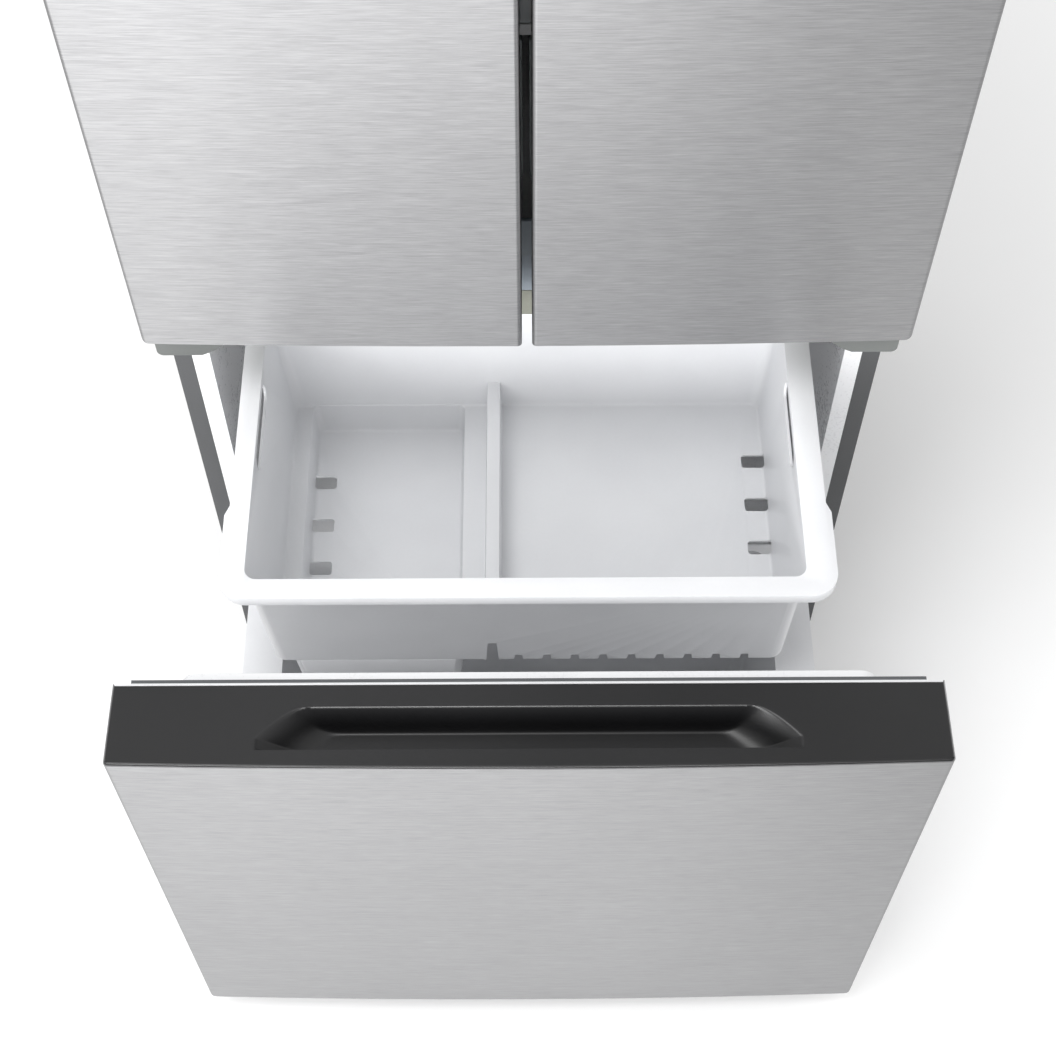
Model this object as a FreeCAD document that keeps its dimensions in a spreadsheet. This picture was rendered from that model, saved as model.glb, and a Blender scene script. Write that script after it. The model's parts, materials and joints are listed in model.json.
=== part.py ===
"""French door refrigerator with a bottom freezer drawer, as a parametric FreeCAD document in millimetres.

Pieces are drawn around the cabinet: X to the right, Y back from the cabinet's front plane, Z up from the
floor, with the doors, the freezer drawer and its baskets closed.  Each finished piece then gets a placement
that moves it to the row frame, whose origin lies on the floor under the middle of the whole object, and
that pulls the drawer and its baskets out to their rest places.
"""

import FreeCAD
import Part
import Sketcher
import math
import os
import re
from FreeCAD import Rotation, Vector

doc = FreeCAD.newDocument("FrenchDoorRefrigerator")
sheet = doc.addObject("Spreadsheet::Sheet", "Sizes")

SIZES = {
    # cabinet
    "cabinetWidth": (835, "outside width"),
    "cabinetDepth": (660, "front plane to the rear panel's outer face"),
    "cabinetHeight": (1760, "floor to the cabinet's top"),
    "cabinetBottom": (22, "floor to the bottom edge of the side panels"),
    "sheetGauge": (1.2, "steel wrapper and outer skins"),
    "frontFlange": (21, "width of the wrapper's front flange"),
    "linerGauge": (2.2, "vacuum formed liners and inner panels"),
    "openingWidth": (750, "inside width of both compartments"),
    "compartmentDepth": (560, "front plane to the liners' rear walls"),
    "fridgeFloor": (850, "inside floor of the fresh food compartment"),
    "fridgeCeiling": (1712, "inside ceiling of the fresh food compartment"),
    "freezerFloor": (95, "inside floor of the freezer"),
    "freezerCeiling": (745, "inside ceiling of the freezer"),
    "humpFront": (372, "front plane to the step over the machine compartment"),
    "humpTop": (300, "top of that step inside the freezer"),
    "humpInsulation": (56, "foam between the step and the machine compartment"),
    "pieceGap": (0.4, "clearance between neighbouring fixed pieces"),
    # doors and drawer front
    "doorDepth": (98, "front plane to the door's front at its outer edge"),
    "doorBulge": (6, "how far the contoured front stands out at the middle"),
    "doorCorner": (5, "radius along the upright front edges"),
    "faceCorner": (9, "radius of the fronts' outer corners, seen from the front"),
    "doorGap": (11, "gap between the two doors"),
    "doorBottom": (822, "floor to the bottom of the doors"),
    "doorTop": (1765, "floor to the top of the doors"),
    "drawerBottom": (45, "floor to the bottom of the drawer front"),
    "drawerTop": (760, "floor to the top of the drawer front"),
    "gasketDepth": (8, "seal between an inner panel and the cabinet's front plane"),
    "gasketWidth": (24, "width of the seal's ring"),
    "gasketInset": (16.5, "outer edge of the seal behind the cabinet's side"),
    "sealClearance": (0.5, "free gap between the seal and the cabinet"),
    "endCapHeight": (20, "moulded caps that close the doors' ends"),
    "dykeDepth": (30, "raised rim of a door's inner panel"),
    "dykeWidth": (24, "width of that rim"),
    "hingeInset": (19.5, "door hinge axis inboard of the cabinet's side"),
    "hingeForward": (60, "door hinge axis in front of the front plane"),
    "pinRadius": (5, "door hinge pins"),
    "runningFit": (0.08, "radial clearance of a turning pin"),
    # freezer drawer
    "drawerTravel": (471, "how far the drawer is pulled out at rest"),
    "basketTravel": (376, "how far the upper basket is pulled out at rest"),
    "capHeight": (48, "moulded top cap of the drawer front"),
    "pocketLong": (537, "handle pocket, length along its front edge"),
    "pocketShort": (442, "handle pocket, length along its rear edge"),
    "pocketWide": (46, "handle pocket, front to back"),
    "pocketDeep": (34, "handle pocket depth"),
    "pocketBack": (28, "handle pocket behind its rear edge"),
    "plugSide": (30, "opening's side to the raised plug on the drawer's inner panel"),
    "plugDepth": (22, "how far that plug stands out"),
    "slideLength": (355, "each member of the telescopic slides"),
    "slideZ": (230, "height of the slides' centre line"),
    "bracketLength": (262, "galvanised drawer brackets"),
    "bracketTop": (400, "top edge of those brackets"),
    # baskets
    "upperRim": (720, "top of the upper basket's rim"),
    "upperGap": (45, "opening's side to the upper basket's rim"),
    "upperRimWide": (31, "width of that rim along the sides"),
    "rimStep": (5, "the rim is narrower by this behind its front part"),
    "rimStepAt": (105, "length of that front part"),
    "upperLength": (409, "upper basket front to back"),
    "wallDraft": (10, "slope of the upper basket's side walls"),
    "ledgeWide": (21, "ledge beside the well on the left"),
    "dividerHigh": (44, "low divider across the upper basket"),
    "tearHole": (12, "radius of the hand holds' ends"),
    "upperFloor": (535, "floor of the shallow side of the upper basket"),
    "wellFloor": (492, "floor of the deep well on the left"),
    "basketWall": (3, "wall of the baskets and bins"),
    "rimSkirt": (14, "downturned edge of the rim"),
    "rimFront": (24, "front part of the rim, front to back"),
    "rimBack": (15, "rear part of the rim, front to back"),
    "basketRailLength": (414, "tracks that carry the upper basket"),
    "lowerRim": (440, "top of the lower basket's rim"),
    "lowerFloor": (112, "underside of the lower basket"),
    "lowerGap": (31, "opening's side to the lower basket's rim"),
    "lowerRimWide": (47, "width of that rim along the sides"),
    "lowerLength": (330, "lower basket front to back"),
    # inside the fresh food compartment
    "shelfFront": (120, "front plane to the shelves' front edge"),
    "shelfThick": (14, "framed glass shelf"),
    "crisperTop": (1060, "top of the crisper drawers"),
    "pantryTop": (1176, "top of the wide pantry drawer"),
    "binDepth": (92, "front to back of a door bin"),
    # feet and rollers
    "rollerRadius": (16, "rear rollers"),
    "footRadius": (19, "levelling feet"),
}

for row, (alias, (value, note)) in enumerate(SIZES.items(), 1):
    sheet.set(f"A{row}", note)
    sheet.set(f"B{row}", str(value))
    sheet.setAlias(f"B{row}", alias)
doc.recompute()

# Sizes that follow from the sheet, as formulas on its aliases.
FORMULAS = {
    "halfWidth": "cabinetWidth / 2",
    "halfOpening": "openingWidth / 2",
    "flangeInner": "halfWidth - frontFlange",
    "bulgeRadius": "(halfWidth^2 + doorBulge^2) / (2 * doorBulge)",
    "frontMost": "doorDepth + doorBulge",
    "originShift": "(drawerTravel + frontMost - cabinetDepth) / 2",
    "drawerShift": "originShift - drawerTravel",
    "basketShift": "originShift - basketTravel",
    "middleShift": "originShift - drawerTravel / 2",
    "panelBack": "0 - gasketDepth",
    "machineFront": "humpFront + humpInsulation",
    "machineTop": "humpTop - humpInsulation + linerGauge",
    "hingeX": "halfWidth - hingeInset",
    "dykeBack": "dykeDepth - gasketDepth",
    "basketFront": "17",
    "plugHalf": "halfOpening - plugSide",
    "upperHalf": "halfOpening - upperGap",
    "upperInner": "upperHalf - upperRimWide",
    "lowerHalf": "halfOpening - lowerGap",
    "lowerInner": "lowerHalf - lowerRimWide",
    "liningBack": "cabinetDepth - sheetGauge",
}
FUNCTIONS = ("sqrt", "min", "max")


def bound(text):
    """Turn a formula on plain aliases into one that FreeCAD's expression engine reads."""

    def word(match):
        name = match[0]
        if name in FORMULAS:
            return "(" + bound(FORMULAS[name]) + ")"
        return name if name in FUNCTIONS else "Sizes." + name

    return re.sub(r"[A-Za-z]\w*", word, str(text))


def number(text):
    """The value of such a formula."""
    return float(sheet.evalExpression(bound(text)))


def bind(thing, **formulas):
    """Bind properties to formulas; two underscores stand for a dot."""
    for name, text in formulas.items():
        thing.setExpression(name.replace("__", "."), bound(text))
    return thing


# ---- primitives and booleans ---------------------------------------------------------------------------


def box(x, y, z):
    """A block between the (low, high) formulas along each axis."""
    thing = doc.addObject("Part::Box", "Block")
    return bind(
        thing,
        Length=f"({x[1]}) - ({x[0]})",
        Width=f"({y[1]}) - ({y[0]})",
        Height=f"({z[1]}) - ({z[0]})",
        Placement__Base__x=x[0],
        Placement__Base__y=y[0],
        Placement__Base__z=z[0],
    )


TURNS = {
    "x": Rotation(Vector(0, 1, 0), 90),
    "y": Rotation(Vector(1, 0, 0), -90),
    "z": Rotation(),
}


def rod(axis, start, radius, length):
    """A cylinder from the start point along +X, +Y or +Z."""
    thing = doc.addObject("Part::Cylinder", "Rod")
    thing.Placement = FreeCAD.Placement(Vector(), TURNS[axis])
    return bind(
        thing,
        Radius=radius,
        Height=length,
        Placement__Base__x=start[0],
        Placement__Base__y=start[1],
        Placement__Base__z=start[2],
    )


def tapered(x, y, z, topX, topY):
    """A block whose top face has its own span along X and Y."""
    thing = doc.addObject("Part::Wedge", "Tapered")
    thing.Placement = FreeCAD.Placement(Vector(), Rotation(Vector(1, 0, 0), 90))
    return bind(
        thing,
        Xmin=x[0], Xmax=x[1], X2min=topX[0], X2max=topX[1],
        Ymin=z[0], Ymax=z[1],
        Zmin=f"0 - ({y[1]})", Zmax=f"0 - ({y[0]})", Z2min=f"0 - ({topY[1]})", Z2max=f"0 - ({topY[0]})",
    )


def fused(*things):
    if len(things) == 1:
        return things[0]
    result = doc.addObject("Part::MultiFuse", "Joined")
    result.Shapes = list(things)
    return result


def cut(base, *tools):
    result = doc.addObject("Part::Cut", "Cut")
    result.Base = base
    result.Tool = fused(*tools)
    return result


def common(*things):
    result = doc.addObject("Part::MultiCommon", "Shared")
    result.Shapes = list(things)
    return result


def group(*things):
    """Separate solids that share one node."""
    result = doc.addObject("Part::Compound", "Group")
    result.Links = list(things)
    return result


def hollow(x, y, z, wall, floor="basketWall"):
    """An open-topped tray: a block with its inside taken out from above."""
    inside = box(
        (f"({x[0]}) + ({wall})", f"({x[1]}) - ({wall})"),
        (f"({y[0]}) + ({wall})", f"({y[1]}) - ({wall})"),
        (f"({z[0]}) + ({floor})", f"({z[1]}) + 1"),
    )
    return cut(box(x, y, z), inside)


def rounded(base, radius, test):
    """Round the edges of a finished shape that pass the test."""
    doc.recompute()
    edges = [n for n, edge in enumerate(base.Shape.Edges, 1) if test(edge)]
    result = doc.addObject("Part::Fillet", "Rounded")
    result.Base = base
    size = number(radius)
    result.Edges = [(n, size, size) for n in edges]
    return result


# ---- bodies with sketches ------------------------------------------------------------------------------

# Each plane: the axis its normal follows, and whether that normal points along the axis.
PLANES = {"XY": True, "XZ": False, "YZ": True}


def newBody(name):
    return doc.addObject("PartDesign::Body", name)


def arcBetween(start, end, radius):
    """The arc between two points; a positive radius bulges to the right of the way from start to end."""
    middle, half = (start + end) / 2, (end - start) / 2
    side = Vector(half.y, -half.x, 0).normalize() * (1 if radius > 0 else -1)
    drop = math.sqrt(max(radius * radius - half.Length**2, 0))
    top = middle - side * drop + side * abs(radius)
    return Part.Arc(start, top, end) if radius > 0 else Part.Arc(end, top, start)


def drawn(body, plane, offset, loops):
    """A sketch whose every corner and radius is driven by the sheet."""
    sketch = body.newObject("Sketcher::SketchObject", "Sketch")
    role = plane + "_Plane"
    base = next(o for o in body.Origin.OriginFeatures if o.Role == role)
    sketch.AttachmentSupport = (base, [""])
    sketch.MapMode = "FlatFace"
    sign = "" if PLANES[plane] else "0 - "
    bind(sketch, AttachmentOffset__Base__z=f"{sign}({offset})")

    def fix(kind, geometry, point, text):
        args = (-1, 1, geometry, point) if kind != "Radius" else (geometry,)
        n = sketch.addConstraint(Sketcher.Constraint(kind, *args, number(text)))
        sketch.setExpression(f"Constraints[{n}]", bound(text))

    for loop in loops:
        if loop[0] == "circle":
            _, x, y, radius = loop
            centre = Vector(number(x), number(y), 0)
            g = sketch.addGeometry(Part.Circle(centre, Vector(0, 0, 1), number(radius)))
            fix("DistanceX", g, 3, x)
            fix("DistanceY", g, 3, y)
            fix("Radius", g, 3, radius)
            continue
        corners = [Vector(number(c[0]), number(c[1]), 0) for c in loop]
        ids, ends = [], []
        for n, corner in enumerate(loop):
            start, end = corners[n], corners[(n + 1) % len(loop)]
            if len(corner) == 3:
                radius = number(corner[2])
                ids.append(sketch.addGeometry(arcBetween(start, end, radius)))
                ends.append((1, 2) if radius > 0 else (2, 1))
            else:
                ids.append(sketch.addGeometry(Part.LineSegment(start, end)))
                ends.append((1, 2))
        for n, corner in enumerate(loop):
            m = (n + 1) % len(loop)
            tie = Sketcher.Constraint("Coincident", ids[n], ends[n][1], ids[m], ends[m][0])
            sketch.addConstraint(tie)
        for n, corner in enumerate(loop):
            fix("DistanceX", ids[n], ends[n][0], corner[0])
            fix("DistanceY", ids[n], ends[n][0], corner[1])
            if len(corner) == 3:
                text = corner[2]
                positive = text if number(text) > 0 else f"0 - ({text})"
                fix("Radius", ids[n], 0, positive)
    return sketch


def add(body, plane, low, high, *loops):
    """Pad the loops from low to high along the plane's axis."""
    pad = body.newObject("PartDesign::Pad", "Pad")
    pad.Profile = drawn(body, plane, low, loops)
    pad.Reversed = not PLANES[plane]
    return bind(pad, Length=f"({high}) - ({low})")


def take(body, plane, low, high, *loops):
    """Pocket the loops from low to high along the plane's axis."""
    pocket = body.newObject("PartDesign::Pocket", "Pocket")
    pocket.Profile = drawn(body, plane, low, loops)
    pocket.Reversed = PLANES[plane]
    return bind(pocket, Length=f"({high}) - ({low})")


def rounds(body, radius, test):
    """Fillet the edges of the body's tip that pass the test."""
    doc.recompute()
    tip = body.Tip
    names = [f"Edge{n}" for n, edge in enumerate(tip.Shape.Edges, 1) if test(edge)]
    fillet = body.newObject("PartDesign::Fillet", "Fillet")
    fillet.Base = (tip, names)
    return bind(fillet, Radius=radius)


def rectangle(x0, x1, y0, y1):
    return [(x0, y0), (x1, y0), (x1, y1), (x0, y1)]


def spot(edge):
    """Where an edge's middle lies."""
    return edge.valueAt((edge.FirstParameter + edge.LastParameter) / 2)


def straight(edge, axis):
    """Whether an edge is a line along the axis."""
    if edge.Curve.TypeId != "Part::GeomLine":
        return False
    run = edge.Vertexes[-1].Point - edge.Vertexes[0].Point
    return abs(getattr(run, axis)) > 0.999 * run.Length


def near(value, text):
    return abs(value - number(text)) < 0.05


def frontAt(x):
    """How far the contoured front lies from the front plane at this X."""
    return f"(bulgeRadius - frontMost - sqrt(bulgeRadius^2 - ({x})^2))"


def contoured(name, xLeft, xRight, inset, back, low, high):
    """A slab with the contoured front and rounded upright front edges, inset evenly from the outer skin."""
    body = newBody(name)
    left, right = f"({xLeft}) + ({inset})", f"({xRight}) - ({inset})"
    plan = [
        (left, f"{frontAt(xLeft)} + ({inset})", f"bulgeRadius - ({inset})"),
        (right, f"{frontAt(xRight)} + ({inset})"),
        (right, back),
        (left, back),
    ]
    add(body, "XY", low, high, plan)
    deepest = number(panelMiddle)
    rounds(body, f"doorCorner - ({inset})", lambda e: straight(e, "z") and spot(e).y < deepest)
    return body


panelMiddle = "0 - doorDepth / 2"


def faced(thing, xLeft, xRight, low, high, inset, rounding):
    """Keep what lies inside a front view outline; rounding gives the radius of each of its four corners.

    The corners run from the lower left one to the right and up.
    """
    left, right = f"({xLeft}) + ({inset})", f"({xRight}) - ({inset})"
    bottom, top = f"({low}) + ({inset})", f"({high}) - ({inset})"
    r = [f"({text}) - ({inset})" if text else None for text in rounding]
    outline = []

    def corner(x, y, radius, before, after):
        if radius:
            start, end = (tuple(f"{a} + {b} * ({radius})" for a, b in place) for place in (before, after))
            outline.append((*start, radius))
            outline.append(end)
        else:
            outline.append((x, y))

    corner(left, bottom, r[0], ((left, 0), (bottom, 1)), ((left, 1), (bottom, 0)))
    corner(right, bottom, r[1], ((right, -1), (bottom, 0)), ((right, 0), (bottom, 1)))
    corner(right, top, r[2], ((right, 0), (top, -1)), ((right, -1), (top, 0)))
    corner(left, top, r[3], ((left, 1), (top, 0)), ((left, 0), (top, -1)))
    stamp = newBody("Outline")
    add(stamp, "XZ", "0 - frontMost - 2", "1", outline)
    return common(thing, stamp)

# ---- finished pieces -----------------------------------------------------------------------------------

PIECES = {}


def piece(label, thing, shift="originShift"):
    """Name a finished piece and move it to its place at rest."""
    thing.Label = label
    bind(thing, Placement__Base__y=shift)
    PIECES[label] = thing
    return thing


def mirrored(side, low, high):
    """The X span between two distances from the middle, on the left (-1) or right (+1)."""
    if side > 0:
        return low, high
    return f"0 - ({high})", f"0 - ({low})"


# ---- cabinet -------------------------------------------------------------------------------------------


def cabinet():
    g, half = "sheetGauge", "halfWidth"
    wrapper = cut(
        box((f"0 - {half}", half), ("0", f"liningBack - pieceGap"), ("cabinetBottom", "cabinetHeight")),
        box(
            (f"0 - {half} + {g}", f"{half} - {g}"),
            (g, "cabinetDepth"),
            ("cabinetBottom - 1", f"cabinetHeight - {g}"),
        ),
        box(
            ("0 - flangeInner", "flangeInner"),
            ("0 - 1", f"{g} + 1"),
            ("cabinetBottom - 1", "cabinetHeight - frontFlange"),
        ),
    )
    piece("cabinet_shell", wrapper)

    inner = f"{half} - {g} - pieceGap"
    rear = cut(
        box(("0 - halfWidth", "halfWidth"), ("liningBack", "cabinetDepth"), ("machineTop", "cabinetHeight")),
        *[
            box(("0 - 90", "90"), ("liningBack - 1", "liningBack + 0.6"), (f"{z}", f"{z + 8}"))
            for z in (900, 1300)
        ],
    )
    piece("rear_panel", rear)

    deck = newBody("Deck")
    low, high = "cabinetBottom", "cabinetBottom + 2"
    add(deck, "XY", low, high, rectangle(f"0 - ({inner})", inner, "sheetGauge + pieceGap", "liningBack - 1"))
    for side in (-1, 1):
        x = mirrored(side, "rollerX - 10", "rollerX + 10")
        take(deck, "XY", "cabinetBottom - 1", high, rectangle(*x, "rollerY - 21", "rollerY + 21"))
        for ear in ("rollerX - 13", "rollerX + 10"):
            span = mirrored(side, ear, f"{ear} + 3")
            web = [
                ("rollerY - 20", "cabinetBottom + 1"),
                ("rollerY - 9", "rollerRadius - 8"),
                ("rollerY + 9", "rollerRadius - 8"),
                ("rollerY + 20", "cabinetBottom + 1"),
            ]
            add(deck, "YZ", *span, web)
        across = mirrored(side, "rollerX - 14", "rollerX + 14")
        take(deck, "YZ", *across, ("circle", "rollerY", "rollerRadius", "axleRadius + runningFit"))
        x = f"{side} * footX"
        add(deck, "XY", "cabinetBottom + 1", "cabinetBottom + 16", ("circle", x, "footY", "studRadius + 5"))
        take(
            deck, "XY", "cabinetBottom - 1", "cabinetBottom + 17",
            ("circle", x, "footY", "studRadius + runningFit"),
        )
    reach = "flangeInner - pieceGap"
    add(deck, "XZ", "0", "1.6", rectangle(f"0 - ({reach})", reach, low, "freezerFloor - 27"))
    piece("base_pan", deck)


FORMULAS.update(
    rollerX="halfWidth - 46",
    rollerY="cabinetDepth - 60",
    axleRadius="4",
    footX="halfWidth - 40",
    footY="34",
    studRadius="5",
)


def linerBlock(grow, front, low, high):
    """A compartment's inside, grown evenly on every side but the front."""
    wide = f"halfOpening + ({grow})"
    return box(
        (f"0 - ({wide})", wide),
        (front, f"compartmentDepth + ({grow})"),
        (f"({low}) - ({grow})", f"({high}) + ({grow})"),
    )


def humpBlock(grow):
    """The step that the freezer liner makes over the machine compartment."""
    return box(
        ("0 - halfWidth", "halfWidth"),
        (f"humpFront + ({grow})", "cabinetDepth"),
        ("0", f"humpTop - ({grow})"),
    )


def flange(low, high):
    """A liner's front flange, as far as the wrapper's own."""
    edge = "flangeInner - pieceGap"
    return box((f"0 - ({edge})", edge), ("0", "linerGauge"), (low, high))


def liners():
    t = "linerGauge"
    shell = fused(
        linerBlock(t, "0", "fridgeFloor", "fridgeCeiling"),
        flange(f"fridgeFloor - {t}", "cabinetHeight - frontFlange - pieceGap"),
    )
    step = box(
        ("0 - halfOpening", "halfOpening"), ("0 - 1", "2.4"), (f"fridgeFloor - {t} - 1", "fridgeFloor + 1")
    )
    piece("fridge_liner", cut(shell, linerBlock("0", "0 - 1", "fridgeFloor", "fridgeCeiling"), step))

    outside = cut(linerBlock(t, "0", "freezerFloor", "freezerCeiling"), humpBlock(t))
    inside = cut(linerBlock("0", "0 - 1", "freezerFloor", "freezerCeiling"), humpBlock("0"))
    rim = flange("freezerFloor - 27 + pieceGap", f"freezerCeiling + {t}")
    piece("freezer_liner", cut(fused(outside, rim), inside))


def foam():
    edge = "halfWidth - sheetGauge"
    gap = "pieceGap"
    mass = box(
        (f"0 - ({edge})", edge),
        ("linerGauge", "liningBack - pieceGap"),
        ("cabinetBottom + 16 + pieceGap", "cabinetHeight - sheetGauge"),
    )
    t = f"linerGauge + {gap}"
    freezer = cut(linerBlock(t, "0", "freezerFloor", "freezerCeiling"), humpBlock(t))
    machine = box(
        ("0 - halfWidth", "halfWidth"),
        ("machineFront", "cabinetDepth"),
        ("0", "machineTop"),
    )
    rail = box(
        ("0 - halfWidth", "halfWidth"),
        ("0", "railDepth + pieceGap"),
        (f"freezerCeiling + linerGauge - {gap}", f"fridgeFloor - linerGauge + {gap}"),
    )
    fridge = linerBlock(t, "0", "fridgeFloor", "fridgeCeiling")
    deck = box(("0 - halfWidth", "halfWidth"), ("0", "4"), ("0", "freezerFloor - 26"))
    piece("foam_insulation", cut(mass, fridge, freezer, machine, rail, deck))


FORMULAS.update(
    railDepth="34",
    railLow="freezerCeiling + linerGauge + pieceGap",
    railHigh="fridgeFloor - linerGauge - pieceGap",
    railSplit="railLow + 42",
    lipTop="fridgeFloor + 28",
    railWide="flangeInner - pieceGap",
)


def centerRail():
    rail = newBody("Rail")
    wide = "railWide"
    channel = [
        ("0", "railLow"),
        ("railDepth", "railLow"),
        ("railDepth", "railLow + 1.6"),
        ("1.6", "railLow + 1.6"),
        ("1.6", "railSplit - 1.6"),
        ("railDepth", "railSplit - 1.6"),
        ("railDepth", "railSplit"),
        ("0", "railSplit"),
    ]
    add(rail, "YZ", f"0 - ({wide})", wide, channel)
    piece("center_rail", rail)

    cover = newBody("RailCover")
    bridge = [
        ("0", "railSplit + pieceGap"),
        ("railDepth", "railSplit + pieceGap"),
        ("railDepth", "railHigh"),
        ("0", "railHigh"),
    ]
    add(cover, "YZ", f"0 - ({wide})", wide, bridge)
    bed = [
        ("3", "railSplit + 4"),
        ("railDepth + 1", "railSplit + 4"),
        ("railDepth + 1", "railHigh - 4"),
        ("3", "railHigh - 4"),
    ]
    take(cover, "YZ", f"0 - ({wide}) + 4", f"{wide} - 4", bed)
    lip = [
        ("0", "railHigh - 2"),
        ("2", "railHigh - 2"),
        ("2", "fridgeFloor + 0.2"),
        ("30", "fridgeFloor + 0.2"),
        ("30", "lipTop"),
        ("25", "lipTop"),
        ("0", "fridgeFloor"),
    ]
    reach = "halfOpening - pieceGap"
    add(cover, "YZ", f"0 - ({reach})", reach, lip)
    piece("rail_cover", cover)


def toeGrille():
    grille = newBody("Grille")
    reach = "halfWidth - 34"
    add(grille, "XZ", "0 - 22", "0 - 4", rectangle(f"0 - ({reach})", reach, "7", "drawerBottom - 5"))
    take(
        grille, "XZ", "0 - 19", "0 - 3",
        rectangle(f"0 - ({reach}) + 3", f"{reach} - 3", "6", "drawerBottom - 8"),
    )
    slots = [
        rectangle(f"{n} * 40 - 15", f"{n} * 40 + 15", f"{z}", f"{z} + 4")
        for n in range(-8, 9)
        for z in (13, 23)
    ]
    take(grille, "XZ", "0 - 23", "0 - 18", *slots)
    piece("toe_grille", grille)


# ---- hinges --------------------------------------------------------------------------------------------


def hinges():
    tops, topCovers, centres, centreCovers = [], [], [], []
    for side in (-1, 1):
        x = mirrored(side, "halfWidth - 80", "halfWidth - 3")
        pinX, pinY = f"{side} * hingeX", "0 - hingeForward"
        plate = "doorTop + 3"
        bracket = fused(
            box(x, ("6", "62"), ("cabinetHeight", f"{plate} + 4")),
            box(x, ("0 - hingeForward - 14", "7"), (plate, f"{plate} + 4")),
            rod("z", (pinX, pinY, "doorTop - 17"), "pinRadius", "22"),
        )
        tops.append(bracket)
        outer = mirrored(side, "halfWidth - 86", "halfWidth - 0.5")
        inner = mirrored(side, "halfWidth - 83.5", "halfWidth - 2.6")
        hood = cut(
            fused(
                box(outer, ("0 - hingeForward - 22", "72"), ("doorTop + 1.2", "doorTop + 25")),
                box(outer, ("3", "72"), ("cabinetHeight + 0.1", "doorTop + 20")),
            ),
            box(inner, ("0 - hingeForward - 19.5", "69.5"), ("cabinetHeight", "doorTop + 22.5")),
        )
        top = number("doorTop + 25")
        topCovers.append(
            rounded(
                hood, "6",
                lambda e, top=top: near(spot(e).z, f"{top}")
                or (straight(e, "z") and spot(e).z > top - 16 and (spot(e).y < -81 or spot(e).y > 71)),
            )
        )

        low = "doorBottom - 14"
        table = mirrored(side, "halfWidth - 76", "halfWidth - 16")
        centre = fused(
            box(x, ("0 - 4", "0"), ("drawerTop + 8", "doorBottom - 6")),
            box(table, ("0 - hingeForward - 16", "0 - 2"), (low, f"{low} + 4")),
            rod("z", (pinX, pinY, low), "pinRadius", "34"),
        )
        centres.append(
            cut(
                centre,
                *[
                    rod("y", (f"{side} * (halfWidth - {across})", "0 - 5", "doorBottom - 44"), "3", "6")
                    for across in (24, 58)
                ],
            )
        )
        centreCovers.append(centreHingeCover(side))
    piece("top_hinges", group(*tops))
    piece("top_hinge_covers", group(*topCovers))
    piece("center_hinges", group(*centres))
    piece("center_hinge_covers", group(*centreCovers))


def centreHingeCover(side):
    """A shell under the door's corner: flat below, rounded outside and swept up towards the middle."""

    def outline(inset):
        reach = [
            ("halfWidth - 10.5", "doorBottom - 3"),
            ("halfWidth - 94.5", "doorBottom - 3"),
            ("halfWidth - 60", "doorBottom - 32"),
            ("halfWidth - 17", "doorBottom - 32"),
            ("halfWidth - 10.5", "doorBottom - 25"),
        ]
        moves = [(-1, 1), (3.5, 1), (1.2, 1), (-0.5, 1), (-1, 0.5)]
        points = [
            (f"{side} * ({x} + {inset * dx})", f"{z} + {inset * dz}")
            for (x, z), (dx, dz) in zip(reach, moves)
        ]
        points[1] += (f"{side} * 90",)
        points[3] += (f"{side} * 7.5",)
        return points

    cover = newBody("HingeCover")
    front, back = "0 - doorDepth + 8", "0 - 5"
    add(cover, "XZ", front, back, outline(0))
    take(cover, "XZ", f"{front} + 2.5", f"{back} + 1", outline(2.2))
    return cover


# ---- doors ---------------------------------------------------------------------------------------------


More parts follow.
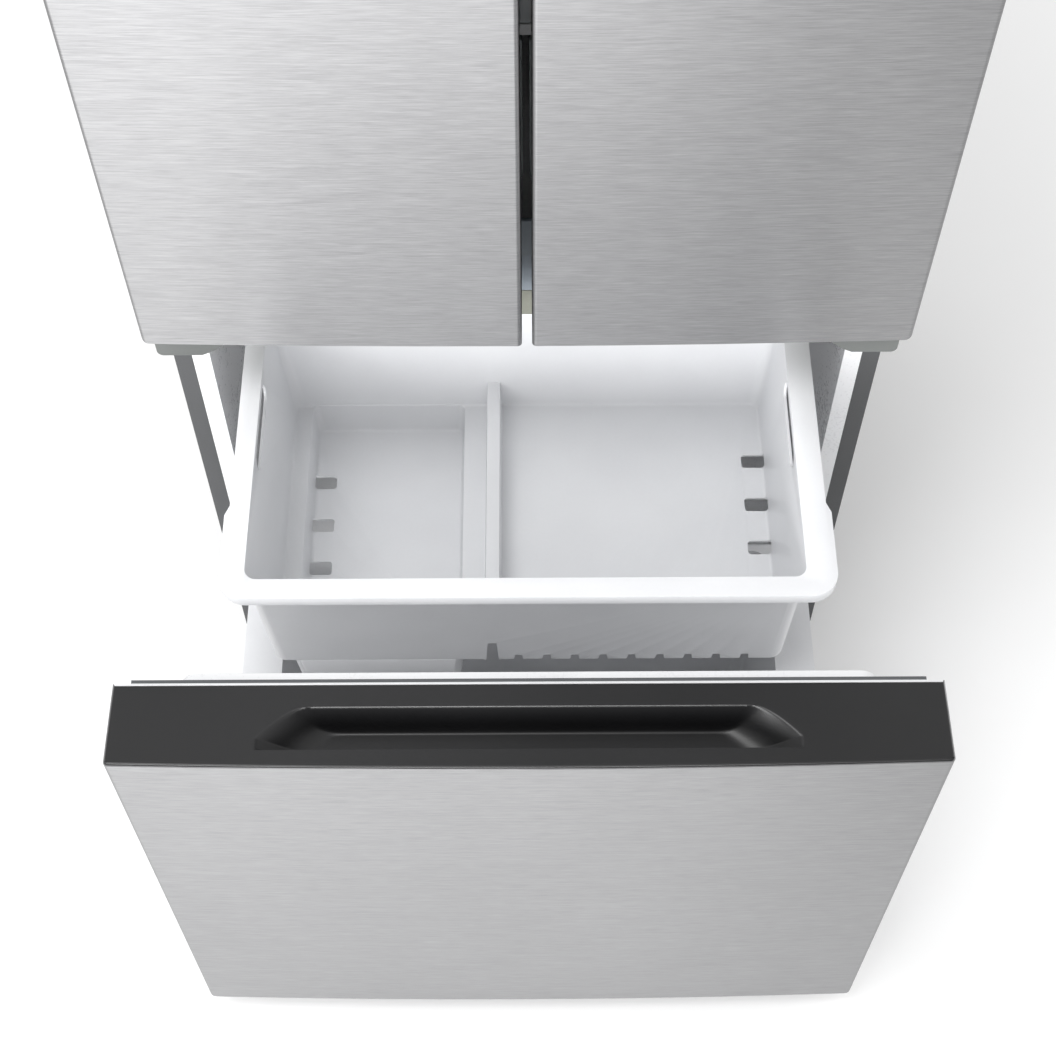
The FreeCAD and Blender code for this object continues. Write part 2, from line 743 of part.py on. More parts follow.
def door(side):
    name = "left" if side < 0 else "right"
    xLeft, xRight = mirrored(side, "doorGap / 2", "halfWidth")
    g, t = "sheetGauge", "linerGauge"
    round, square = "faceCorner", None
    corners = (round, square, square, round) if side < 0 else (square, round, round, square)
    span = (xLeft, xRight, "doorBottom", "doorTop")
    outer = contoured("Outer", xLeft, xRight, "0", "panelBack", "doorBottom", "doorTop")
    skin = cut(
        faced(outer, *span, "0", corners),
        contoured("Inner", xLeft, xRight, g, "panelBack + 1", "doorBottom - 1", "doorTop + 1"),
    )
    piece(f"{name}_door_skin", skin)

    inset = f"({g} + pieceGap / 2)"
    back = f"panelBack - {t} - pieceGap / 2"
    pin = ("circle", f"{side} * hingeX", "0 - hingeForward", "pinRadius + runningFit")
    lower = contoured("LowerCap", xLeft, xRight, inset, back, "doorBottom + 0.5", "doorBottom + endCapHeight")
    take(lower, "XY", "doorBottom", "doorBottom + endCapHeight + 1", pin)
    upper = contoured("UpperCap", xLeft, xRight, inset, back, "doorTop - endCapHeight", "doorTop - 0.5")
    take(upper, "XY", "doorTop - endCapHeight - 1", "doorTop", pin)
    caps = [faced(cap, *span, "0.5", corners) for cap in (lower, upper)]
    piece(f"{name}_door_caps", group(*caps))

    core = contoured(
        "Core", xLeft, xRight, inset, back,
        "doorBottom + endCapHeight + pieceGap", "doorTop - endCapHeight - pieceGap",
    )
    piece(f"{name}_door_foam", core)

    panel = newBody("InnerPanel")
    edge = (f"({xLeft}) + {inset}", f"({xRight}) - {inset}")
    add(
        panel, "XZ", f"panelBack - {t}", "panelBack",
        rectangle(*edge, "doorBottom + 1", "doorTop - 1"),
    )
    dyke = dykeSpan(side)
    inside = (f"({dyke[0]}) + dykeWidth", f"({dyke[1]}) - dykeWidth")
    add(
        panel, "XZ", "panelBack - 0.5", "dykeBack",
        rectangle(*dyke, "dykeLow", "dykeHigh"),
        rectangle(*inside, "dykeLow + dykeWidth", "dykeHigh - dykeWidth"),
    )
    if side < 0:
        for low in ("mullionLow - 7.5", "mullionHigh + 0.5"):
            ear = rectangle("0 - dykeInner - 1", "pivotX + 6", "0.3", "pivotY + 7")
            add(panel, "XY", low, f"{low} + 7", ear)
        hole = ("circle", "pivotX", "pivotY", "3 + runningFit")
        take(panel, "XY", "mullionLow - 8", "mullionLow", hole)
        take(panel, "XY", "mullionHigh", "mullionHigh + 8", hole)
    piece(f"{name}_door_liner", panel)

    sealX = mirrored(side, "doorGap / 2 + 3.5", "halfWidth - gasketInset")
    seal = newBody("Seal")
    low, high = "doorBottom + 4", "cabinetHeight - frontFlange + 6"
    ring = rectangle(*sealX, low, high)
    hole = rectangle(
        f"({sealX[0]}) + gasketWidth", f"({sealX[1]}) - gasketWidth",
        f"{low} + gasketWidth", f"{high} - gasketWidth",
    )
    add(seal, "XZ", "panelBack", "0 - sealClearance", ring, hole)
    piece(f"{name}_door_gasket", seal)

    bins = []
    reach = (f"({inside[0]}) + 1", f"({inside[1]}) - 1")
    for floor, height in ((1010, 110), (1235, 110), (1480, 90)):
        bottom = f"{floor}"
        depth = ("panelBack + 1", "panelBack + 1 + binDepth")
        bins.append(tray(reach, depth, (bottom, f"{floor + height}"), "2.6", "12"))
    piece(f"{name}_door_bins", group(*bins))


def tray(x, y, z, wall, radius):
    """An open bin whose upright corners away from the door are rounded, inside and out."""
    body = newBody("Tray")
    add(body, "XY", *z, rectangle(*x, *y))
    back = f"({y[1]}) - ({wall})"
    inside = rectangle(f"({x[0]}) + ({wall})", f"({x[1]}) - ({wall})", f"({y[0]}) + ({wall})", back)
    take(body, "XY", f"({z[0]}) + ({wall})", f"({z[1]}) + 1", inside)
    rounds(body, f"({radius}) - ({wall})", lambda e: straight(e, "z") and near(spot(e).y, back))
    rounds(body, radius, lambda e: straight(e, "z") and near(spot(e).y, y[1]))
    return body


def dykeSpan(side):
    return mirrored(side, "dykeInner", "halfOpening - 15")


FORMULAS.update(
    dykeInner="38",
    dykeLow="fridgeFloor + 36",
    dykeHigh="fridgeCeiling - 24",
    pivotX="0 - 20",
    pivotY="8.5",
    mullionLow="fridgeFloor + 46",
    mullionHigh="fridgeCeiling - 33",
)


def mullion():
    """The flipper that closes the gap between the doors, folded back on the left door's inner edge."""
    bar = newBody("Flipper")
    thin = ("pivotX - 7", "pivotX + 7")
    long = ("pivotY - 6", "pivotY + 38")
    add(bar, "XY", "mullionLow", "mullionHigh", rectangle(*thin, *long))
    rounds(bar, "5", lambda e: straight(e, "z"))
    strip = rectangle("pivotX + 5.5", "pivotX + 8", "pivotY + 4", "pivotY + 30")
    take(bar, "XY", "mullionLow + 20", "mullionHigh - 20", strip)
    pin = ("circle", "pivotX", "pivotY", "3")
    add(bar, "XY", "mullionLow - 6.5", "mullionLow + 1", pin)
    add(bar, "XY", "mullionHigh - 1", "mullionHigh + 6.5", pin)
    piece("mullion", bar)


# ---- inside the fresh food compartment -----------------------------------------------------------------


def freshFood():
    reach = "halfOpening - 5"
    back = "compartmentDepth"
    vents = [box(("0 - 70", "70"), (f"{back} - 16", f"{back} - 10"), (f"{z}", f"{z + 14}")) for z in
             (1240, 1300, 1440, 1500, 1600, 1640)]
    duct = cut(
        box(("0 - 120", "120"), (f"{back} - 14", f"{back} - 0.2"), ("pantryTop + 30", "fridgeCeiling - 20")),
        box(("0 - 116", "116"), (f"{back} - 11", f"{back}"), ("pantryTop + 34", "fridgeCeiling - 24")),
        *vents,
    )
    piece("fridge_air_duct", duct)

    lens = rounded(
        box(("0 - 110", "110"), ("200", "270"), ("fridgeCeiling - 12", "fridgeCeiling - 0.2")), "5",
        lambda e: spot(e).z < number("fridgeCeiling - 11.9"),
    )
    lamp = group(lens)
    piece("ceiling_light_lens", lamp)

    ladders = []
    for side in (-1, 1):
        x = mirrored(side, "190", "206")
        rail = cut(
            box(x, (f"{back} - 7", f"{back} - 0.2"), ("pantryTop + 20", "fridgeCeiling - 40")),
            *[
                box(mirrored(side, "195", "201"), (f"{back} - 8", f"{back} - 4"), (f"{z}", f"{z + 16}"))
                for z in range(1230, 1650, 40)
            ],
        )
        ladders.append(rail)
    piece("shelf_ladders", group(*ladders))

    panes, frames = [], []
    spans = [
        (f"0 - ({reach})", "0 - 3", 1420),
        ("3", reach, 1420),
        (f"0 - ({reach})", reach, 1200),
    ]
    for x0, x1, level in spans:
        shelf(panes, frames, (x0, x1), f"{level}", "shelfFront", f"{back} - 18")
    shelf(panes, frames, (f"0 - ({reach})", reach), "crisperTop + 4", "shelfFront - 6", f"{back} - 2")
    piece("shelf_glass", group(*panes))
    piece("shelf_frames", group(*frames))

    crispers = [
        bucket(mirrored(side, "4", reach), ("shelfFront - 10", "500"), ("fridgeFloor + 6", "crisperTop"))
        for side in (-1, 1)
    ]
    piece("crisper_drawers", group(*crispers))
    pantry = bucket(
        (f"0 - ({reach})", reach), ("shelfFront - 10", "510"), ("crisperTop + 4 + shelfThick + 6", "pantryTop"),
    )
    piece("pantry_drawer", pantry)


def shelf(panes, frames, x, low, front, back):
    """A glass pane let into a moulded frame."""
    frame = cut(
        box(x, (front, back), (low, f"{low} + shelfThick")),
        box(
            (f"({x[0]}) + 12", f"({x[1]}) - 12"), (f"{front} + 16", f"{back} - 16"),
            (f"{low} - 1", f"{low} + shelfThick + 1"),
        ),
        box(
            (f"({x[0]}) + 5", f"({x[1]}) - 5"), (f"{front} + 8", f"{back} - 8"),
            (f"{low} + shelfThick - 5", f"{low} + shelfThick + 1"),
        ),
    )
    pane = box(
        (f"({x[0]}) + 5.3", f"({x[1]}) - 5.3"), (f"{front} + 8.3", f"{back} - 8.3"),
        (f"{low} + shelfThick - 4.8", f"{low} + shelfThick - 0.8"),
    )
    frames.append(frame)
    panes.append(pane)


def bucket(x, y, z):
    """A drawer with a thick pull front and thin walls."""
    body = newBody("Bucket")
    add(body, "XY", z[0], z[1], rectangle(*x, *y))
    inside = rectangle(f"({x[0]}) + 3", f"({x[1]}) - 3", f"({y[0]}) + 14", f"({y[1]}) - 3")
    take(body, "XY", f"({z[0]}) + 3", f"({z[1]}) + 1", inside)
    rounds(body, "7", lambda e: straight(e, "z") and near(spot(e).y, f"({y[1]}) - 3"))
    rounds(body, "10", lambda e: straight(e, "z") and near(spot(e).y, y[1]))
    pull = rectangle(f"({x[0]}) + 40", f"({x[1]}) - 40", f"({z[1]}) - 26", f"({z[1]}) - 12")
    take(body, "XZ", f"({y[0]}) - 1", f"({y[0]}) + 9", pull)
    return body


# ---- freezer compartment -------------------------------------------------------------------------------


def freezer():
    back = "compartmentDepth"
    slots = [
        box((f"{x - 40}", f"{x + 40}"), (f"{back} - 61", f"{back} - 50"), (f"{z}", f"{z + 8}"))
        for x in (-220, -110, 110, 220)
        for z in (600, 622, 644)
    ]
    holes = [
        box((f"{x - 4}", f"{x + 4}"), (f"{back} - 61", f"{back} - 50"), ("585", "675"))
        for x in range(-45, 46, 15)
    ]
    cover = cut(
        box(
            ("0 - halfOpening + 4", "halfOpening - 4"), (f"{back} - 60", f"{back} - 1"),
            ("humpTop + 1", "freezerCeiling - 3"),
        ),
        box(
            ("0 - halfOpening + 7", "halfOpening - 7"), (f"{back} - 57", back),
            ("humpTop", "freezerCeiling - 6"),
        ),
        *slots, *holes,
    )
    piece("freezer_evaporator_cover", cover)

    fins = [
        box((f"{x}", f"{x} + 2"), (f"{back} - 46", f"{back} - 8"), ("330", "520"))
        for x in range(-252, 253, 14)
    ]
    tubes = [
        rod("x", ("0 - 262", f"{back} - {y}", f"{z}"), "4", "524")
        for y in (36, 18)
        for z in range(350, 511, 32)
    ]
    piece("evaporator", fused(*fins, *tubes))

    fan("evaporator_fan", ("0", f"{back} - 30", "630"), "48", 5)

    outers, middles, inners, rails = [], [], [], []
    for side in (-1, 1):
        outers.append(channel(side, "halfOpening - 11", "halfOpening - 0.2", True))
        inners.append(channel(side, "bracketOuter + 0.2", "bracketOuter + 11", False))
        middles.append(
            box(
                mirrored(side, "halfOpening - 16.2", "halfOpening - 2.6"),
                ("slideFront", "slideFront + slideLength"),
                ("slideZ - 17", "slideZ + 17"),
            )
        )
        rails.append(basketRail(side))
    piece("slide_outer_members", group(*outers))
    piece("slide_middle_members", group(*middles), "middleShift")
    piece("slide_inner_members", group(*inners), "drawerShift")
    piece("basket_rails", group(*rails))


FORMULAS.update(
    slideFront="10",
    bracketOuter="halfOpening - 25",
    bracketInner="halfOpening - 28",
)


def channel(side, near, far, opensInward):
    """A slide member: a web with two lips that face the middle member."""
    x = mirrored(side, near, far)
    front, back = "slideFront", "slideFront + slideLength"
    groove = (near + " - 1", far + " - 2") if opensInward else (near + " + 2", far + " + 1")
    return cut(
        box(x, (front, back), ("slideZ - 21", "slideZ + 21")),
        box(mirrored(side, *groove), (f"{front} - 1", f"{back} + 1"), ("slideZ - 19", "slideZ + 19")),
    )


def basketRail(side):
    """A track that carries the upper basket's rim and holds it down."""
    web = mirrored(side, "halfOpening - 3", "halfOpening - 0.2")
    lip = mirrored(side, "upperHalf - 16", "halfOpening - 1")
    y = ("plugDepth + panelBack + 2", "plugDepth + panelBack + 2 + basketRailLength")
    under, over = "upperRim - rimSkirt", "upperRim"
    return fused(
        box(web, y, (f"{under} - 12", f"{over} + 8")),
        box(lip, y, (f"{under} - 4", f"{under} - 0.8")),
        box(lip, y, (f"{over} + 1.2", f"{over} + 4")),
    )


def fan(label, centre, radius, blades):
    """A hub with pitched blades, turning about Y."""
    hub = rod("y", (centre[0], f"{centre[1]} - 7", centre[2]), "12", "16")
    parts = [hub]
    size = number(radius)
    middle = Vector(*[number(c) for c in centre])
    for n in range(blades):
        blade = doc.addObject("Part::Box", "Blade")
        blade.Length, blade.Width, blade.Height = size - 8, 2, 22
        turn = Rotation(Vector(0, 1, 0), 360 * n / blades) * Rotation(Vector(1, 0, 0), 62)
        offset = turn.multVec(Vector(8, -1, -11))
        blade.Placement = FreeCAD.Placement(middle + offset, turn)
        parts.append(blade)
    piece(label, fused(*parts))


# ---- freezer drawer ------------------------------------------------------------------------------------


def freezerDrawer():
    g, t = "sheetGauge", "linerGauge"
    span = ("0 - halfWidth", "halfWidth")
    front, top = "drawerBottom", "drawerTop"
    corners = ("faceCorner", "faceCorner", None, None)
    outer = contoured("Outer", *span, "0", "panelBack", front, f"{top} - 2")
    inner = contoured("Inner", *span, g, "panelBack + 1", f"{front} + {g}", top)
    skin = cut(
        faced(outer, *span, front, top, "0", corners),
        faced(inner, *span, front, f"{top} + 5", g, corners),
    )
    piece("drawer_skin", skin, "drawerShift")

    inset = f"({g} + pieceGap / 2)"
    behind = f"panelBack - {t} - pieceGap / 2"
    cap = contoured("Cap", *span, inset, behind, f"{top} - capHeight", top)
    back = "panelBack - pocketBack"
    ahead = f"{back} - pocketWide"
    pocket = [
        ("0 - pocketLong / 2", ahead),
        ("pocketLong / 2", ahead),
        ("pocketLong / 2 - 4", f"{ahead} + 10"),
        ("pocketShort / 2 + 26", f"{back} - 12"),
        ("pocketShort / 2", back),
        ("0 - pocketShort / 2", back),
        ("0 - pocketShort / 2 - 26", f"{back} - 12"),
        ("0 - pocketLong / 2 + 4", f"{ahead} + 10"),
    ]
    take(cap, "XY", f"{top} - pocketDeep", f"{top} + 1", pocket)
    floor = number(f"{top} - pocketDeep")
    rounds(cap, "6", lambda e: near(spot(e).z, f"{floor}"))
    rim = number(top)
    low, high, wide = number(ahead) - 0.5, number(back) + 0.5, number("halfWidth - 20")

    def atPocket(edge):
        return low < spot(edge).y < high and abs(spot(edge).x) < wide

    rounds(cap, "2", lambda e: near(spot(e).z, f"{rim}") and atPocket(e))
    rounds(cap, "1.5", lambda e: near(spot(e).z, f"{rim}") and not low < spot(e).y < high)
    piece("drawer_cap", cap, "drawerShift")

    core = contoured(
        "Core", *span, inset, behind, f"{front} + {g} + pieceGap", f"{top} - capHeight - pieceGap",
    )
    piece("drawer_foam", faced(core, *span, front, f"{top} + 5", inset, corners), "drawerShift")

    panel = newBody("DrawerPanel")
    edge = f"halfWidth - {inset}"
    add(
        panel, "XZ", f"panelBack - {t}", "panelBack",
        rectangle(f"0 - ({edge})", edge, f"{front} + {g} + pieceGap", f"{top} - 2"),
    )
    rounds(panel, f"faceCorner - {g}", lambda e: straight(e, "y") and spot(e).z < number(front) + 5)
    raised = ("panelBack - 0.5", "plugDepth + panelBack")
    plug = rectangle("0 - plugHalf", "plugHalf", "freezerFloor + 12", "bracketTop + 90")
    add(panel, "XZ", *raised, plug)
    crown = rectangle("0 - plugHalf - 10", "plugHalf + 10", "bracketTop + 70", "freezerCeiling - 6")
    add(panel, "XZ", *raised, crown)
    rounds(
        panel, "18",
        lambda e: straight(e, "y") and spot(e).y > number("panelBack + 1")
        and (near(spot(e).z, "freezerFloor + 12") or near(spot(e).z, "freezerCeiling - 6")),
    )
    piece("drawer_liner", panel, "drawerShift")

    seal = newBody("Seal")
    wide = "halfWidth - gasketInset"
    low, high = "drawerBottom + 20", "drawerTop - 8"
    hole = rectangle(
        f"0 - ({wide}) + gasketWidth", f"{wide} - gasketWidth", f"{low} + gasketWidth", "freezerCeiling - 4"
    )
    add(seal, "XZ", "panelBack", "0 - sealClearance", rectangle(f"0 - ({wide})", wide, low, high), hole)
    piece("drawer_gasket", seal, "drawerShift")

    piece("drawer_brackets", group(*[bracket(side) for side in (-1, 1)]), "drawerShift")
    piece("lower_basket", lowerBasket(), "drawerShift")


def bracket(side):
    """A pressed galvanised arm that ties the slide's inner member to the drawer front."""
    x = mirrored(side, "bracketInner", "bracketOuter")
    top = "bracketTop"
    arm = newBody("Arm")
    profile = [
        ("panelBack", "slideZ - 22"),
        ("bracketLength", "slideZ - 22"),
        ("bracketLength", f"{top} - 10"),
        ("bracketLength - 10", top),
        ("panelBack", top),
    ]
    add(arm, "YZ", *x, profile)
    foot = mirrored(side, "bracketOuter - 1", "bracketOuter + 21")
    add(arm, "XY", f"{top} - 90", top, rectangle(*foot, "panelBack", "panelBack + 3"))
    return arm


def lowerBasket():
    body = newBody("LowerBasket")
    front = "plugDepth + panelBack + 4"
    back = f"{front} + lowerLength"
    half, wall = "lowerInner", "basketWall"
    outer = rectangle(f"0 - {half} - {wall}", f"{half} + {wall}", front, back)
    add(body, "XY", "lowerFloor", "lowerRim - 4", outer)
    rim = rectangle("0 - lowerHalf", "lowerHalf", front, back)
    add(body, "XY", "lowerRim - 8", "lowerRim", rim)
    inside = rectangle(f"0 - {half}", half, f"{front} + {wall} + 6", f"{back} - {wall} - 6")
    take(body, "XY", f"lowerFloor + {wall}", "lowerRim + 1", inside)
    rounds(body, "18", lambda e: straight(e, "z") and near(abs(spot(e).x), half))
    rounds(body, "20", lambda e: straight(e, "z") and near(abs(spot(e).x), f"{half} + {wall}"))
    rounds(body, "20", lambda e: straight(e, "z") and near(abs(spot(e).x), "lowerHalf"))
    return body


FORMULAS.update(
    rimBottom="upperRim - rimSkirt",
    ledgeOuter="upperInner - wallDraft",
    wellLeft="0 - ledgeOuter + ledgeWide",
    wellRight="0 - upperInner * 0.26",
    dividerAt="0 - upperInner * 0.138",
    upperFront="basketFront + rimFront",
    upperBack="basketFront + upperLength - rimBack",
)


def basketVolume(grow, top):
    """The shallow part and the deep well of the upper basket, grown by a wall on every side but the top."""
    front, back = f"upperFront - ({grow})", f"upperBack + ({grow})"
    shallow = tapered(
        (f"0 - ledgeOuter - ({grow})", f"ledgeOuter + ({grow})"),
        (f"{front} + 3", f"{back} - 9"),
        (f"upperFloor - ({grow})", top),
        (f"0 - upperInner - 4 - ({grow})", f"upperInner - 2 + ({grow})"),
        (front, back),
    )
    well = tapered(
        (f"wellLeft + 5 - ({grow})", f"wellRight - 4 + ({grow})"),
        (f"{front} + 3", f"{back} - 17"),
        (f"wellFloor - ({grow})", "upperFloor + 1"),
        (f"wellLeft - ({grow})", f"wellRight + ({grow})"),
        (f"{front} + 3", f"{back} - 9"),
    )
    floor = number(f"upperFloor - ({grow})") + 0.1
    pit = number(f"wellFloor - ({grow})") + 0.1

    def slanted(edge):
        run = edge.Vertexes[-1].Point - edge.Vertexes[0].Point
        return abs(run.z) > 20

    shallow = rounded(shallow, f"13 + ({grow})", slanted)
    shallow = rounded(shallow, f"4 + ({grow})", lambda e: spot(e).z < floor)
    well = rounded(well, f"9 + ({grow})", slanted)
    well = rounded(well, f"4 + ({grow})", lambda e: spot(e).z < pit)
    return shallow, well


def upperBasket():
    """A white bin with a broad rim, a deep well on the left, a low divider and vent slots."""
    rim = basketRim()
    bin = fused(rim, *basketVolume("basketWall", "upperRim - 1"))
    front, back = "upperFront - basketWall", "upperBack + 1"
    ridge = tapered(
        ("dividerAt - 10", "dividerAt + 10"), ("upperFront + 1", "upperBack - 4"),
        ("upperFloor - 1", "upperFloor + dividerHigh"),
        ("dividerAt - 7.5", "dividerAt + 7.5"), ("upperFront + 1", "upperBack - 2"),
    )
    groove = tapered(
        ("dividerAt - 7.5", "dividerAt + 7.5"), (f"{front} - 1", "upperBack - 12"),
        ("upperFloor - basketWall - 1", "upperFloor + dividerHigh - 2.5"),
        ("dividerAt - 5", "dividerAt + 5"), (f"{front} - 1", "upperBack - 12"),
    )
    slots = []
    for at in (102, 165, 226):
        y = (f"basketFront + upperLength - {at + 19}", f"basketFront + upperLength - {at}")
        right = box(("ledgeOuter - 27", "ledgeOuter + 1.6"), y, ("upperFloor - 8", "upperFloor + 6"))
        left = box(("wellLeft + 1", "wellLeft + 30"), y, ("wellFloor - 8", "wellFloor + 6"))
        slots += [rounded(slot, "4", lambda e: straight(e, "z")) for slot in (right, left)]
    holds = []
    for side in (-1, 1):
        x = mirrored(side, "upperInner - 14", "upperInner + 12")
        y = ("basketFront + 192", "basketFront + 280")
        holds.append(box(x, y, ("upperRim - 32", "upperRim - 32 + 2 * tearHole")))
        holds += [rod("x", (x[0], end, "upperRim - 32 + tearHole"), "tearHole", "26") for end in y]
    teeth = [
        tapered(
            (f"{x} - 6", f"{x} + 6"), (f"{front} - 1", "upperFront + 8"), ("upperFloor - 4", "upperFloor + 13"),
            (f"{x} - 4", f"{x} + 4"), (f"{front} - 1", "upperFront + 8"),
        )
        for x in (f"ledgeOuter * {n / 8.95:.3f} - 11.5" for n in range(9))
    ]
    hollowed = cut(bin, *basketVolume("0", "upperRim + 1"))
    return cut(fused(hollowed, ridge), groove, *slots, *holds, *teeth)


def basketRim():
    """The rim's plate with its downturned skirt, a step wider along its front part."""
    rim = newBody("Rim")
    front, back = "basketFront", "basketFront + upperLength"
    step = "basketFront + rimStepAt"

    def outline(inset, lengthwise):
        wide, slim = f"upperHalf - ({inset})", f"upperHalf - rimStep - ({inset})"
        y0, y1 = f"{front} + ({lengthwise})", f"{back} - ({inset})"
        return [
            (f"0 - ({wide})", y0), (wide, y0), (wide, step), (slim, f"{step} + 12"), (slim, y1),
            (f"0 - ({slim})", y1), (f"0 - ({slim})", f"{step} + 12"), (f"0 - ({wide})", step),
        ]

    add(rim, "XY", "rimBottom", "upperRim", outline("0", "0"))
    take(rim, "XY", "rimBottom - 1", "upperRim - basketWall", outline("basketWall", "basketWall"))
    for end, sign, radius in ((front, "+", 30), (back, "-", 12)):
        for inset in ("basketWall", "0"):
            place = f"{end} {sign} {inset}"
            rounds(
                rim, f"{radius} - {inset}",
                lambda e, place=place: straight(e, "z") and near(spot(e).y, place),
            )
    return rim


# ---- machine compartment -------------------------------------------------------------------------------


def machine():
    deck = "cabinetBottom + 2"
    middleY = "machineFront + 105"
    can = fused(
        rod("z", ("0 - 230", middleY, f"{deck} + 14"), "78", "110"),
        rod("z", ("0 - 230", middleY, f"{deck} + 110"), "62", "50"),
        box(("0 - 310", "0 - 150"), (f"{middleY} - 70", f"{middleY} + 70"), (f"{deck} + 10", f"{deck} + 18")),
        *[
            rod("z", (f"{x}", f"{middleY} + {y}", deck), "9", "12")
            for x in (-298, -162)
            for y in (-58, 58)
        ],
        box(("0 - 160", "0 - 132"), (f"{middleY} - 26", f"{middleY} + 26"), (f"{deck} + 40", f"{deck} + 100")),
    )
    piece("compressor", can)

    fins = [
        box((f"{x}", f"{x} + 1.6"), (f"{middleY} - 80", f"{middleY} + 80"), (f"{deck} + 20", f"{deck} + 160"))
        for x in range(60, 300, 12)
    ]
    tubes = [
        rod("x", ("50", f"{middleY} + {y}", f"{deck} + {z}"), "4", "258")
        for y in (-60, -20, 20, 60)
        for z in (45, 90, 135)
    ]
    feet = [
        box((f"{x}", f"{x} + 8"), (f"{middleY} - 80", f"{middleY} + 80"), (deck, f"{deck} + 150"))
        for x in (50, 300)
    ]
    piece("condenser_coil", fused(*fins, *tubes, *feet))

    centre = ("0 - 60", middleY, f"{deck} + 98")
    shroud = cut(
        box(("0 - 68", "0 - 52"), (f"{middleY} - 80", f"{middleY} + 80"), (deck, f"{deck} + 178")),
        rod("x", ("0 - 70", middleY, centre[2]), "66", "20"),
    )
    strut = fused(
        box(("0 - 92", "0 - 86"), (f"{middleY} - 78", f"{middleY} + 78"), (f"{deck} + 92", f"{deck} + 104")),
        box(("0 - 92", "0 - 60"), (f"{middleY} - 80", f"{middleY} - 74"), (f"{deck} + 88", f"{deck} + 108")),
        box(("0 - 92", "0 - 60"), (f"{middleY} + 74", f"{middleY} + 80"), (f"{deck} + 88", f"{deck} + 108")),
        rod("x", ("0 - 106", middleY, centre[2]), "20", "22"),
    )
    piece("condenser_fan_bracket", fused(shroud, strut))

    parts = [rod("x", ("0 - 78", middleY, centre[2]), "14", "20")]
    middle = Vector(*[number(c) for c in centre]) + Vector(-8, 0, 0)
    for n in range(5):
        blade = doc.addObject("Part::Box", "Blade")
        blade.Length, blade.Width, blade.Height = 2, 50, 26
        turn = Rotation(Vector(1, 0, 0), 72 * n) * Rotation(Vector(0, 1, 0), 30)
        blade.Placement = FreeCAD.Placement(middle + turn.multVec(Vector(-1, 10, -13)), turn)
        parts.append(blade)
    piece("condenser_fan", fused(*parts))

    tray = hollow(
        ("60", "296"), (f"{middleY} - 76", f"{middleY} + 76"), (f"{deck} + 164", f"{deck} + 196"), "2",
    )
    piece("drain_pan", tray)

    louvres = [
        box((f"{x}", f"{x} + 90"), ("liningBack - 1", "cabinetDepth + 1"), (f"{z}", f"{z} + 5"))
        for x in (-330, -190, 100, 240)
        for z in range(70, 200, 14)
    ]
    inlet = box(("0 - 38", "38"), ("liningBack - 1", "cabinetDepth + 1"), ("150", "196"))
    edge = "halfWidth - 4"
    cover = cut(
        box((f"0 - ({edge})", edge), ("liningBack", "cabinetDepth"), ("cabinetBottom + 4", "machineTop - 0.6")),
        inlet, *louvres,
    )
    piece("machine_cover", cover)

    socket = cut(
        box(("0 - 37.6", "37.6"), ("cabinetDepth - 34", "cabinetDepth"), ("150.4", "195.6")),
        box(("0 - 24", "24"), ("cabinetDepth - 26", "cabinetDepth + 1"), ("160", "186")),
    )
    prongs = [
        box((f"{x} - 1.2", f"{x} + 1.2"), ("cabinetDepth - 27", "cabinetDepth - 8"), ("169", "177"))
        for x in (-11, 0, 11)
    ]
    piece("power_inlet", fused(socket, *prongs))


# ---- feet, rollers, fasteners --------------------------------------------------------------------------


def supports():
    for side in (-1, 1):
        name = "left" if side < 0 else "right"
        x = f"{side} * footX"
        foot = fused(
            rod("z", (x, "footY", "0"), "footRadius", "8"),
            rod("z", (x, "footY", "7"), "11", "8"),
            rod("z", (x, "footY", "14"), "studRadius", "cabinetBottom"),
        )
        piece(f"{name}_levelling_foot", foot)

        x = mirrored(side, "rollerX - 7", "rollerX + 7")
        wheel = rod("x", (x[0], "rollerY", "rollerRadius"), "rollerRadius", "14")
        groove = cut(
            rod("x", (f"{x[0]} + 5", "rollerY", "rollerRadius"), "rollerRadius + 1", "4"),
            rod("x", (f"{x[0]} + 4", "rollerY", "rollerRadius"), "rollerRadius - 2", "6"),
        )
        axle = rod("x", (f"{x[0]} - 7.5", "rollerY", "rollerRadius"), "axleRadius", "29")
        piece(f"{name}_rear_roller", fused(cut(wheel, groove), axle))


def fasteners():
    screws = []
    for side in (-1, 1):
        for across in (24, 58):
            x = f"{side} * (halfWidth - {across})"
            screws.append(rod("y", (x, "0 - 7", "doorBottom - 44"), "6", "2.9"))
            screws.append(rod("z", (x, "40", "doorTop + 7.1"), "6", "3"))
    piece("hinge_screws", group(*screws))


cabinet()
liners()
foam()
centerRail()
toeGrille()
hinges()
for side in (-1, 1):
    door(side)
mullion()
freshFood()
freezer()
freezerDrawer()
piece("upper_basket", upperBasket(), "basketShift")
machine()
supports()
fasteners()
doc.recompute()

# ---- checks and export ---------------------------------------------------------------------------------

faults = []
for thing in doc.Objects:
    owner = thing.getParentGeoFeatureGroup()
    home = owner.Label if owner else "the document"
    if "Invalid" in thing.State or "Error" in thing.State:
        faults.append(f"{thing.Name} in {home} did not build")
    elif thing.TypeId in ("PartDesign::Pocket", "PartDesign::Groove"):
        if thing.Shape.Volume > thing.BaseFeature.Shape.Volume - 1e-3:
            faults.append(f"{thing.Name} in {home} cuts nothing")

for label, thing in PIECES.items():
    shape = thing.Shape
    if shape.isNull() or not shape.Solids or not shape.isValid():
        faults.append(f"{label} has no valid solid")
if faults:
    raise SystemExit("\n".join(faults))

os.makedirs("parts", exist_ok=True)
for label, thing in PIECES.items():
    thing.Shape.exportStep(f"parts/{label}.step")
print(len(PIECES), "pieces")
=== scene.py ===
import json
import math

import bmesh
import bpy
from mathutils import Matrix, Vector

